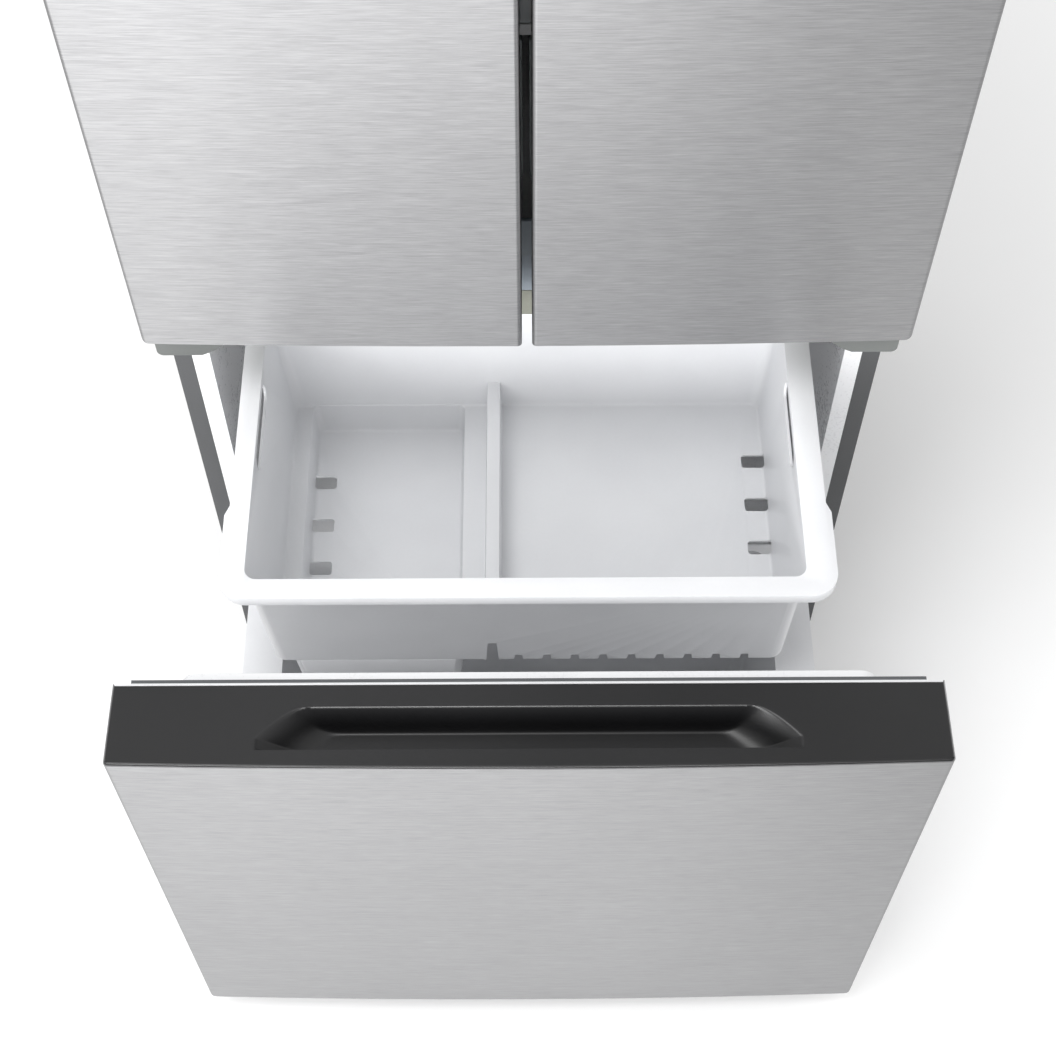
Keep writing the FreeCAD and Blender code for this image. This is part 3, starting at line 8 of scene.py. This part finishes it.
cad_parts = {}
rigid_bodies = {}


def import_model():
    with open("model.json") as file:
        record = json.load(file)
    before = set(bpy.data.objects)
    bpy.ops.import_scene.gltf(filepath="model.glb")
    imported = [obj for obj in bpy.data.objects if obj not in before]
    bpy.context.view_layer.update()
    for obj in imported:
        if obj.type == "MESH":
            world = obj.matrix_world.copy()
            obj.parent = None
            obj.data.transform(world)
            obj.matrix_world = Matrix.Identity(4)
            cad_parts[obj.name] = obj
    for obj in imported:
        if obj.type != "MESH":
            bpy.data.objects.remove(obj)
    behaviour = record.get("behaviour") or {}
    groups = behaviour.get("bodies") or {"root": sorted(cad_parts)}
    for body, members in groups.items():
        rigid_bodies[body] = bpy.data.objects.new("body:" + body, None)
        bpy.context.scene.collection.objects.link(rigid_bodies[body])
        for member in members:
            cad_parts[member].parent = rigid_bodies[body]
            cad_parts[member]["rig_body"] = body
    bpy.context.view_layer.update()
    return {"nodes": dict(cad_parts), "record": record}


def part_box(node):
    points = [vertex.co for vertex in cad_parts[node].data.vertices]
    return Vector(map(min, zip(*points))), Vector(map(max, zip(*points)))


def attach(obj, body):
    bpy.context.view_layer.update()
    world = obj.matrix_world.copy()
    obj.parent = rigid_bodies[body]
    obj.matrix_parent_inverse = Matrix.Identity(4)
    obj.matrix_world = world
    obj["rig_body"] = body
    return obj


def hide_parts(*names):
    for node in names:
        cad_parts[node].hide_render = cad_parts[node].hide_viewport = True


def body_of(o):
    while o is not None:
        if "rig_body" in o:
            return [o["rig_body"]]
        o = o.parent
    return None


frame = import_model()

nodes = frame["nodes"]
mm = 0.001
slotOf = {part["node"]: part["material_slot"] for part in frame["record"]["subparts"]}
print("frame loaded:", len(nodes), "nodes")


# A value on its way through a material; sums and products of wires add Math nodes.
class Wire:
    def __init__(self, finish, socket):
        self.finish, self.socket = finish, socket

    def joined(self, operation, first, second):
        return self.finish.node("ShaderNodeMath", {"operation": operation}, {0: first, 1: second})

    def __add__(self, other):
        return self.joined("ADD", self, other)

    def __radd__(self, other):
        return self.joined("ADD", other, self)

    def __sub__(self, other):
        return self.joined("SUBTRACT", self, other)

    def __rsub__(self, other):
        return self.joined("SUBTRACT", other, self)

    def __mul__(self, other):
        return self.joined("MULTIPLY", self, other)

    def __rmul__(self, other):
        return self.joined("MULTIPLY", other, self)


# One material and the nodes that make it.
class Finish:
    def __init__(self, name):
        self.material = bpy.data.materials.new(name)
        self.material.use_nodes = True
        self.tree = self.material.node_tree
        self.shader = self.tree.nodes["Principled BSDF"]

    # a node of that type: its settings first, then the values or links of its sockets
    def node(self, kind, settings=None, values=None, output=0):
        made = self.tree.nodes.new(kind)
        for key, value in (settings or {}).items():
            if key == "stops":
                ramp = made.color_ramp.elements
                for stop, (position, colour) in zip(ramp, value):
                    stop.position, stop.color = position, (*colour, 1)
            else:
                setattr(made, key, value)
        for socket, value in (values or {}).items():
            self.feed(made.inputs[socket], value)
        return Wire(self, made.outputs[output])

    def feed(self, socket, value):
        if isinstance(value, Wire):
            self.tree.links.new(value.socket, socket)
        else:
            socket.default_value = value

    def place(self, scale=(1, 1, 1)):
        where = self.node("ShaderNodeTexCoord", output=3)
        return self.node("ShaderNodeMapping", None, {"Vector": where, "Scale": scale})

    def noise(self, scale=(1, 1, 1), size=1.0, detail=3.0, rough=0.5):
        values = {"Vector": self.place(scale), "Scale": size, "Detail": detail, "Roughness": rough}
        return self.node("ShaderNodeTexNoise", {"noise_dimensions": "3D"}, values)

    def tones(self, fac, low, high, start=0.0, end=1.0):
        return self.node("ShaderNodeValToRGB", {"stops": [(start, low), (end, high)]}, {"Fac": fac})

    def bump(self, height, strength, distance):
        values = {"Height": height, "Strength": strength, "Distance": distance}
        return self.node("ShaderNodeBump", None, values)

    def shade(self, **sockets):
        for name, value in sockets.items():
            self.feed(self.shader.inputs[name.replace("_", " ")], value)


# Noise stretched along x for the grain, with a shorter streak and a slow cloud over it.
steel = {
    "dark": (0.25, 0.25, 0.255), "light": (0.395, 0.395, 0.40), "start": 0.30, "end": 0.70,
    "roughLow": 0.38, "roughHigh": 0.50, "fine": (38, 60, 1150), "fineDetail": 4, "fineRough": 0.65,
    "streak": (13, 20, 620), "cloud": (2.2, 2.2, 1.3), "shares": (0.60, 0.26, 0.14),
    "anisotropic": 0.8, "acrossGrain": 0.25, "bump": 0.05, "deep": 0.0004,
}


def brushedSteel():
    f = Finish("brushedSteel")
    fine = f.noise(steel["fine"], detail=steel["fineDetail"], rough=steel["fineRough"])
    streak = f.noise(steel["streak"], detail=2)
    cloud = f.noise(steel["cloud"], detail=2)
    ofFine, ofStreak, ofCloud = steel["shares"]
    grain = fine * ofFine + streak * ofStreak + cloud * ofCloud
    rough = steel["roughLow"] + (steel["roughHigh"] - steel["roughLow"]) * grain
    f.shade(
        Base_Color=f.tones(grain, steel["dark"], steel["light"], steel["start"], steel["end"]),
        Metallic=1.0, Roughness=rough,
        Anisotropic=steel["anisotropic"], Anisotropic_Rotation=steel["acrossGrain"],
        Normal=f.bump(fine, steel["bump"], steel["deep"]),
    )
    return f


paint = {
    "colour": (0.062, 0.064, 0.067), "lift": (0.072, 0.074, 0.078), "start": 0.3, "end": 0.7,
    "peel": 420, "cloud": 4, "rough": 0.42, "roughMore": 0.12, "coat": 0.12, "bump": 0.22, "deep": 0.0006,
}


def texturedPaint():
    f = Finish("texturedPaint")
    peel = f.noise(size=paint["peel"], detail=2)
    cloud = f.noise(size=paint["cloud"])
    f.shade(
        Base_Color=f.tones(cloud, paint["colour"], paint["lift"], paint["start"], paint["end"]),
        Roughness=paint["rough"] + paint["roughMore"] * peel, Metallic=0.0, Coat_Weight=paint["coat"],
        Normal=f.bump(peel, paint["bump"], paint["deep"]),
    )
    return f


# The moulded plastics differ in tone, gloss and the size of their texture.
moulding = {
    "grain": 900, "cloud": 6, "ofCloud": 0.7, "ofSpeck": 0.3, "start": 0.3, "end": 0.7,
    "bySpeck": 0.10, "byCloud": 0.05, "bump": 0.18, "deep": 0.0003,
}


def mouldedPlastic(name, low, high, rough, grain=moulding["grain"], bump=moulding["bump"], coat=0.0):
    f = Finish(name)
    speck = f.noise(size=grain, rough=0.6)
    cloud = f.noise(size=moulding["cloud"])
    tone = cloud * moulding["ofCloud"] + speck * moulding["ofSpeck"]
    f.shade(
        Base_Color=f.tones(tone, low, high, moulding["start"], moulding["end"]),
        Roughness=rough + moulding["bySpeck"] * speck - moulding["byCloud"] * cloud, Coat_Weight=coat,
        Normal=f.bump(speck, bump, moulding["deep"]),
    )
    return f


liner = {
    "wave": 9, "fleck": 260, "start": 0.3, "end": 0.72, "tones": (0.8, 0.2), "heights": (0.75, 0.25),
    "byFleck": 0.08, "byWave": 0.05, "coat": 0.15, "deep": 0.0012,
}


def glossLiner(name, low, high, rough, bump):
    f = Finish(name)
    wave = f.noise(size=liner["wave"], detail=2)
    fleck = f.noise(size=liner["fleck"])
    toneWave, toneFleck = liner["tones"]
    highWave, highFleck = liner["heights"]
    f.shade(
        Base_Color=f.tones(wave * toneWave + fleck * toneFleck, low, high, liner["start"], liner["end"]),
        Roughness=rough + liner["byFleck"] * fleck + liner["byWave"] * wave, Coat_Weight=liner["coat"],
        Normal=f.bump(wave * highWave + fleck * highFleck, bump, liner["deep"]),
    )
    return f


zinc = {
    "spangle": 190, "streak": (30, 30, 4), "streakSize": 4, "ofSpangle": 0.55, "ofStreak": 0.45,
    "dark": (0.42, 0.43, 0.44), "light": (0.70, 0.71, 0.72), "start": 0.15, "end": 0.85,
    "metal": 0.9, "rough": 0.30, "roughMore": 0.22, "bump": 0.08, "deep": 0.0003,
}


def spangledZinc():
    f = Finish("spangledZinc")
    values = {"Vector": f.place(), "Scale": zinc["spangle"]}
    cells = f.node("ShaderNodeTexVoronoi", None, values, output=1)
    tone = f.node("ShaderNodeSeparateColor", None, {"Color": cells})
    streak = f.noise(zinc["streak"], zinc["streakSize"])
    mixed = tone * zinc["ofSpangle"] + streak * zinc["ofStreak"]
    f.shade(
        Base_Color=f.tones(mixed, zinc["dark"], zinc["light"], zinc["start"], zinc["end"]),
        Metallic=zinc["metal"], Roughness=zinc["rough"] + zinc["roughMore"] * mixed,
        Normal=f.bump(mixed, zinc["bump"], zinc["deep"]),
    )
    return f


seal = {
    "skin": 520, "dust": 11, "start": 0.35, "end": 0.7, "rough": 0.62, "roughMore": 0.18,
    "bump": 0.25, "deep": 0.0003,
}


def softSeal(name, low, high):
    f = Finish(name)
    skin = f.noise(size=seal["skin"])
    dust = f.noise(size=seal["dust"], detail=4)
    f.shade(
        Base_Color=f.tones(dust, low, high, seal["start"], seal["end"]),
        Roughness=seal["rough"] + seal["roughMore"] * skin,
        Normal=f.bump(skin, seal["bump"], seal["deep"]),
    )
    return f


# The drawer's seal has a white magnet strip towards the cabinet; towards the panel it is painted dark, a
# painted shade standing for the shadow in the groove by the bellows.
sealAndShade = {
    # white is the magnet strip's own colour; dark is painted shade for the groove's shadow
    "white": (0.80, 0.81, 0.82), "dark": (0.10, 0.105, 0.11), "split": 0.48, "sharpness": 2000,
    "shadeEdgeNoise": 0.3, "start": 0.1, "end": 0.4, "rough": 0.5, "roughMore": 0.2, "bump": 0.2,
}


def sealWithPaintedShade():
    low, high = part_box("drawer_gasket")
    split = low.y + sealAndShade["split"] * (high.y - low.y)
    f = Finish("sealWithPaintedShade")
    behind = f.node("ShaderNodeSeparateXYZ", None, {"Vector": f.place()}, output=1)
    skin = f.noise(size=seal["skin"])
    # the colour steps from white to the painted shade at split, across the seal's depth; noise roughens
    # that edge
    tone = (behind - split) * sealAndShade["sharpness"] + skin * sealAndShade["shadeEdgeNoise"]
    f.shade(
        Base_Color=f.tones(tone, sealAndShade["white"], sealAndShade["dark"], sealAndShade["start"], sealAndShade["end"]),
        Roughness=sealAndShade["rough"] + sealAndShade["roughMore"] * skin,
        Normal=f.bump(skin, sealAndShade["bump"], seal["deep"]),
    )
    return f


clear = {
    "film": 14, "bright": (0.96, 0.98, 0.99), "start": 0.3, "end": 0.75, "filmShare": 0.06,
    "coat": 0.3, "bump": 0.05, "deep": 0.001,
}


def clearPlastic(name, tint, rough, alpha):
    f = Finish(name)
    film = f.noise(size=clear["film"])
    f.shade(
        Base_Color=f.tones(film, tint, clear["bright"], clear["start"], clear["end"]),
        Roughness=rough + clear["filmShare"] * film, Alpha=alpha + clear["filmShare"] * film,
        Coat_Weight=clear["coat"], Normal=f.bump(film, clear["bump"], clear["deep"]),
    )
    return f


fins = {
    "drawn": (3, 3, 160), "drawnSize": 3, "dark": (0.52, 0.53, 0.54), "light": (0.78, 0.79, 0.80),
    "start": 0.3, "end": 0.7, "rough": 0.28, "roughMore": 0.2, "bump": 0.12, "deep": 0.0004,
}


def finMetal():
    f = Finish("finMetal")
    drawn = f.noise(fins["drawn"], fins["drawnSize"])
    f.shade(
        Base_Color=f.tones(drawn, fins["dark"], fins["light"], fins["start"], fins["end"]),
        Metallic=1.0, Roughness=fins["rough"] + fins["roughMore"] * drawn,
        Normal=f.bump(drawn, fins["bump"], fins["deep"]),
    )
    return f


foam = {
    "cells": 380, "cloud": 12, "dark": (0.60, 0.49, 0.24), "light": (0.80, 0.70, 0.42),
    "start": 0.3, "end": 0.7, "rough": 0.9, "roughLess": 0.1, "bump": 0.4, "deep": 0.001,
}


def expandedFoam():
    f = Finish("expandedFoam")
    cells = f.node("ShaderNodeTexVoronoi", None, {"Vector": f.place(), "Scale": foam["cells"]})
    cloud = f.noise(size=foam["cloud"])
    f.shade(
        Base_Color=f.tones(cloud, foam["dark"], foam["light"], foam["start"], foam["end"]),
        Roughness=foam["rough"] - foam["roughLess"] * cells,
        Normal=f.bump(cells, foam["bump"], foam["deep"]),
    )
    return f


# The finish of each material slot: darker tone, lighter tone, roughness, then what else differs.
finishes = {
    "stainless": brushedSteel(),
    "cabinet_grey": texturedPaint(),
    "galvanised": spangledZinc(),
    "chrome_screw": spangledZinc(),
    "foam": expandedFoam(),
    "coil_metal": finMetal(),
    "seal_grey": softSeal("softSeal", (0.30, 0.31, 0.32), (0.40, 0.41, 0.42)),
    "black_rubber": softSeal("hardRubber", (0.015, 0.015, 0.015), (0.04, 0.04, 0.04)),
    "clear_bin": clearPlastic("clearBin", (0.82, 0.89, 0.93), rough=0.08, alpha=0.38),
    "shelf_glass": clearPlastic("shelfGlass", (0.62, 0.80, 0.76), rough=0.02, alpha=0.30),
    "white_liner": glossLiner("glossLiner", (0.86, 0.865, 0.88), (0.92, 0.925, 0.935), 0.22, 0.10),
    "white_basket": glossLiner("basketPlastic", (0.72, 0.727, 0.745), (0.77, 0.777, 0.792), 0.38, 0.02),
    "hinge_cover_grey": mouldedPlastic("hingeGrey", (0.105, 0.112, 0.108), (0.135, 0.142, 0.138), 0.42),
    "charcoal_plastic": mouldedPlastic(
        "charcoalPlastic", (0.005, 0.005, 0.0055), (0.009, 0.009, 0.0097), 0.30
    ),
    "white_trim": mouldedPlastic("whiteTrim", (0.84, 0.845, 0.855), (0.90, 0.905, 0.91), 0.34),
    "steel_rail": mouldedPlastic("railPaint", (0.20, 0.205, 0.17), (0.26, 0.265, 0.225), 0.38, grain=500),
    "rail_cover_grey": mouldedPlastic("railCover", (0.26, 0.30, 0.34), (0.32, 0.36, 0.40), 0.40),
    "black_steel": mouldedPlastic(
        "blackEnamel", (0.012, 0.012, 0.013), (0.028, 0.028, 0.03), 0.22, grain=300, bump=0.1, coat=0.4
    ),
    "fan_plastic": mouldedPlastic("fanPlastic", (0.58, 0.59, 0.60), (0.70, 0.71, 0.72), 0.38),
    "light_lens": mouldedPlastic("frostedLens", (0.86, 0.88, 0.90), (0.94, 0.95, 0.96), 0.5),
}
for name, thing in nodes.items():
    wanted = sealWithPaintedShade() if name == "drawer_gasket" else finishes[slotOf[name]]
    if not thing.material_slots:
        thing.data.materials.append(wanted.material)
    for slot in thing.material_slots:
        slot.material = wanted.material
print("finishes on", len(nodes), "nodes")


softening = {
    "segments": 3, "sharpFrom": 35, "mergeWithin": 0.02, "flatWithin": 1,
    "radius": {
        "upper_basket": 1.2, "lower_basket": 2.0, "center_hinge_covers": 1.5,
        "drawer_liner": 2.0, "rail_cover": 1.2, "drawer_brackets": 0.9, "basket_rails": 0.9,
        "left_door_liner": 1.5, "right_door_liner": 1.5, "toe_grille": 0.7, "mullion": 0.8,
    },
}


# A copy of a CAD node with its triangles merged and its sharp edges rounded.
def softened(name, radius):
    source = nodes[name]
    mesh = source.data.copy()
    piece = bpy.data.objects.new(name + "_soft", mesh)
    bpy.context.scene.collection.objects.link(piece)
    work = bmesh.new()
    work.from_mesh(mesh)
    bmesh.ops.remove_doubles(work, verts=work.verts, dist=softening["mergeWithin"] * mm)
    bmesh.ops.dissolve_limit(
        work, angle_limit=math.radians(softening["flatWithin"]), verts=work.verts, edges=work.edges,
        delimit={"NORMAL"},
    )
    work.to_mesh(mesh)
    work.free()
    for face in mesh.polygons:
        face.use_smooth = True
    bevel = piece.modifiers.new("edges", "BEVEL")
    bevel.width, bevel.segments = radius * mm, softening["segments"]
    bevel.limit_method, bevel.angle_limit = "ANGLE", math.radians(softening["sharpFrom"])
    bevel.harden_normals, bevel.use_clamp_overlap = True, True
    mesh.materials.clear()
    mesh.materials.append(finishes[slotOf[name]].material)
    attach(piece, body_of(source)[0])
    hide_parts(name)


for name, radius in softening["radius"].items():
    softened(name, radius)
print("softened", len(softening["radius"]), "pieces")


# A bmesh made into an object that rides on a body and stands for a CAD node.
def finished(work, name, slot, body, stands, smoothBelow):
    mesh = bpy.data.meshes.new(name)
    work.to_mesh(mesh)
    work.free()
    piece = bpy.data.objects.new(name, mesh)
    bpy.context.scene.collection.objects.link(piece)
    for face in mesh.polygons:
        face.use_smooth = True
    mesh.set_sharp_from_angle(angle=math.radians(smoothBelow))
    mesh.materials.append(finishes[slot].material)
    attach(piece, body)
    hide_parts(stands)


# The drawer's top cap and the pocket in it, in millimetres; slopes are depths per millimetre.
cap = {
    "bulge": 6, "corner": 3.6, "cornerReach": 6.5, "cornerSegments": 5,
    "edge": 2.0, "edgeSegments": 4, "high": 47.6, "smoothBelow": 30, "near": 0.01,
    "pocketAt": 25.6, "pocketWide": 46, "pocketDeep": 34, "longHalf": 268.5, "shortHalf": 221,
    "flareOver": 34, "flarePower": 0.62, "floorFall": 2,
    "rearSlope": 3.2, "frontSlope": 7.0, "endSlope": 0.85,
    "blend": 7.0, "frontBlend": 3, "floorBlend": 15.4, "lip": 1.6,
    "across": 300, "rows": 84, "fineHalf": 282, "fineShare": 0.86, "plainRows": 0.06,
    "marginBack": 5, "marginFront": 4, "sinkBack": 4, "sinkFront": 3.5,
}


# The lower of two depths, run smoothly into each other.
def softLow(a, b, width):
    mix = max(width - abs(a - b), 0) / width
    return min(a, b) - mix * mix * width / 4


# How deep the pocket is at x, so far in front of its rear edge.
def pocketDepth(x, ahead):
    left = cap["pocketWide"] - ahead
    flare = min(max(ahead / cap["flareOver"], 0), 1) ** cap["flarePower"]
    half = cap["shortHalf"] + (cap["longHalf"] - cap["shortHalf"]) * flare
    rear = ahead * cap["rearSlope"]
    front = left * cap["frontSlope"]
    end = (half - abs(x)) * cap["endSlope"]
    floor = cap["pocketDeep"] - cap["floorFall"] * ahead / cap["pocketWide"]
    depth = softLow(softLow(rear, end, cap["blend"]), front, cap["frontBlend"])
    depth = softLow(depth, floor, cap["floorBlend"])
    lip = cap["lip"]
    if depth < -lip:
        return 0
    return depth if depth > lip else (depth + lip) ** 2 / (4 * lip)


# A square grid from -1 to 1 spread over the cap's top, fine where the pocket is.
def spreadOverTop(work, half, back, front, top, pocket):
    radius = (half ** 2 + cap["bulge"] ** 2) / (2 * cap["bulge"])
    fine, plain = cap["fineShare"], cap["plainRows"]
    start, stop = pocket + cap["marginBack"], pocket - cap["pocketWide"] - cap["marginFront"]
    for v in work.verts:
        u, w = v.co.x, (1 - v.co.y) / 2
        if abs(u) < fine:
            x = u / fine * cap["fineHalf"]
        else:
            rest = (abs(u) - fine) / (1 - fine)
            x = math.copysign(cap["fineHalf"] + rest * (half - cap["fineHalf"]), u)
        edge = front + radius - math.sqrt(radius ** 2 - x ** 2)
        if w < plain:
            y = back + (start - back) * w / plain
        elif w < 1 - plain:
            y = start + (stop - start) * (w - plain) / (1 - 2 * plain)
        else:
            y = stop + (edge - stop) * (w - 1 + plain) / plain
        v.co = (x, y, top)


def bevelled(work, edges, offset, segments):
    bmesh.ops.bevel(
        work, geom=edges, offset=offset, segments=segments, affect="EDGES", profile=0.5, material=-1
    )


def drawerCap():
    low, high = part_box("drawer_cap")
    half, back, front, top = high.x / mm, high.y / mm, low.y / mm, high.z / mm
    pocket = back - cap["pocketAt"]   # rear edge of the pocket
    near = cap["near"]
    work = bmesh.new()
    bmesh.ops.create_grid(work, x_segments=cap["across"], y_segments=cap["rows"], size=1)
    spreadOverTop(work, half, back, front, top, pocket)
    rim = [e for e in work.edges if e.is_boundary]
    made = bmesh.ops.extrude_edge_only(work, edges=rim)["geom"]
    foot = [v for v in made if isinstance(v, bmesh.types.BMVert)]
    bmesh.ops.translate(work, verts=foot, vec=(0, 0, -cap["high"]))
    bmesh.ops.holes_fill(work, edges=[e for e in work.edges if e.is_boundary])

    def frontCorner(edge):
        a, b = edge.verts[0].co, edge.verts[1].co
        upright = abs(a.z - b.z) > cap["high"] / 2
        return upright and abs(a.x) > half - near and a.y < front + cap["cornerReach"]

    bevelled(work, [e for e in work.edges if frontCorner(e)], cap["corner"], cap["cornerSegments"])

    def topEdge(edge):
        level = all(abs(v.co.z - top) < near for v in edge.verts)
        lifts = [f.normal.z for f in edge.link_faces]
        return level and min(abs(lift) for lift in lifts) < 0.5 < max(lifts)

    bevelled(work, [e for e in work.edges if topEdge(e)], cap["edge"], cap["edgeSegments"])
    for v in work.verts:
        ahead = pocket - v.co.y
        if abs(v.co.z - top) < near and -cap["sinkBack"] < ahead < cap["pocketWide"] + cap["sinkFront"]:
            v.co.z -= pocketDepth(v.co.x, ahead)
    bmesh.ops.recalc_face_normals(work, faces=work.faces)
    bmesh.ops.scale(work, vec=(mm, mm, mm), verts=work.verts)
    finished(
        work, "drawer_cap_shell", "charcoal_plastic", "freezer_drawer", "drawer_cap", cap["smoothBelow"]
    )


drawerCap()
print("drawer cap shaped")


studio = {
    "world": 0.86, "floorHalf": 30, "floorGrain": 3, "floorRough": 0.9,
    "floorDark": (0.92, 0.92, 0.92), "floorLight": (0.95, 0.95, 0.95),
}
lamps = {
    "key": {
        "power": 17, "at": (-1.2, -1.1, 4.2), "aim": (0, 0.3, 0), "size": (2.0, 2.0), "spread": 90,
    },
    "low": {
        "power": 52, "at": (-0.95, -3.2, 1.75), "aim": (-0.25, 0, 1.6), "size": (3.2, 1.4), "spread": 95,
    },
}


def floorPlane():
    mesh = bpy.data.meshes.new("floor")
    work = bmesh.new()
    bmesh.ops.create_grid(work, x_segments=1, y_segments=1, size=studio["floorHalf"])
    work.to_mesh(mesh)
    work.free()
    floor = bpy.data.objects.new("floor", mesh)
    bpy.context.scene.collection.objects.link(floor)
    f = Finish("floorPaper")
    grain = f.noise(size=studio["floorGrain"], detail=2)
    f.shade(
        Base_Color=f.tones(grain, studio["floorDark"], studio["floorLight"]),
        Roughness=studio["floorRough"],
    )
    mesh.materials.append(f.material)


def areaLight(name, power, at, aim, size, spread):
    lamp = bpy.data.lights.new(name, "AREA")
    lamp.shape, lamp.energy = "RECTANGLE", power
    lamp.size, lamp.size_y = size
    lamp.spread = math.radians(spread)
    thing = bpy.data.objects.new(name, lamp)
    thing.location = at
    thing.rotation_euler = (Vector(aim) - Vector(at)).to_track_quat("-Z", "Y").to_euler()
    bpy.context.scene.collection.objects.link(thing)


def studioLight():
    world = bpy.data.worlds.new("studio")
    bpy.context.scene.world = world
    world.use_nodes = True
    sky = world.node_tree.nodes["Background"]
    sky.inputs["Color"].default_value = (1, 1, 1, 1)
    sky.inputs["Strength"].default_value = studio["world"]
    for name, lamp in lamps.items():
        areaLight(name, **lamp)
    bpy.context.scene.view_settings.view_transform = "Standard"


# Metres in front of the cabinet and above the floor, degrees below the horizontal.
camera = {
    "lens": 62.6, "sensor": 36, "pitch": 57.9, "roll": -0.29, "ahead": 1.3276, "height": 2.402,
    "clip": (0.05, 60),
}


def setCamera():
    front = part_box("cabinet_shell")[0].y
    data = bpy.data.cameras.new("camera")
    data.lens, data.sensor_width = camera["lens"], camera["sensor"]
    data.clip_start, data.clip_end = camera["clip"]
    thing = bpy.data.objects.new("camera", data)
    stand = Matrix.Translation((0, front - camera["ahead"], camera["height"]))
    tilt = Matrix.Rotation(math.radians(90 - camera["pitch"]), 4, "X")
    roll = Matrix.Rotation(math.radians(camera["roll"]), 4, "Z")
    thing.matrix_world = stand @ tilt @ roll
    bpy.context.scene.collection.objects.link(thing)
    bpy.context.scene.camera = thing


floorPlane()
studioLight()
setCamera()
print("studio set")

bpy.context.view_layer.update()
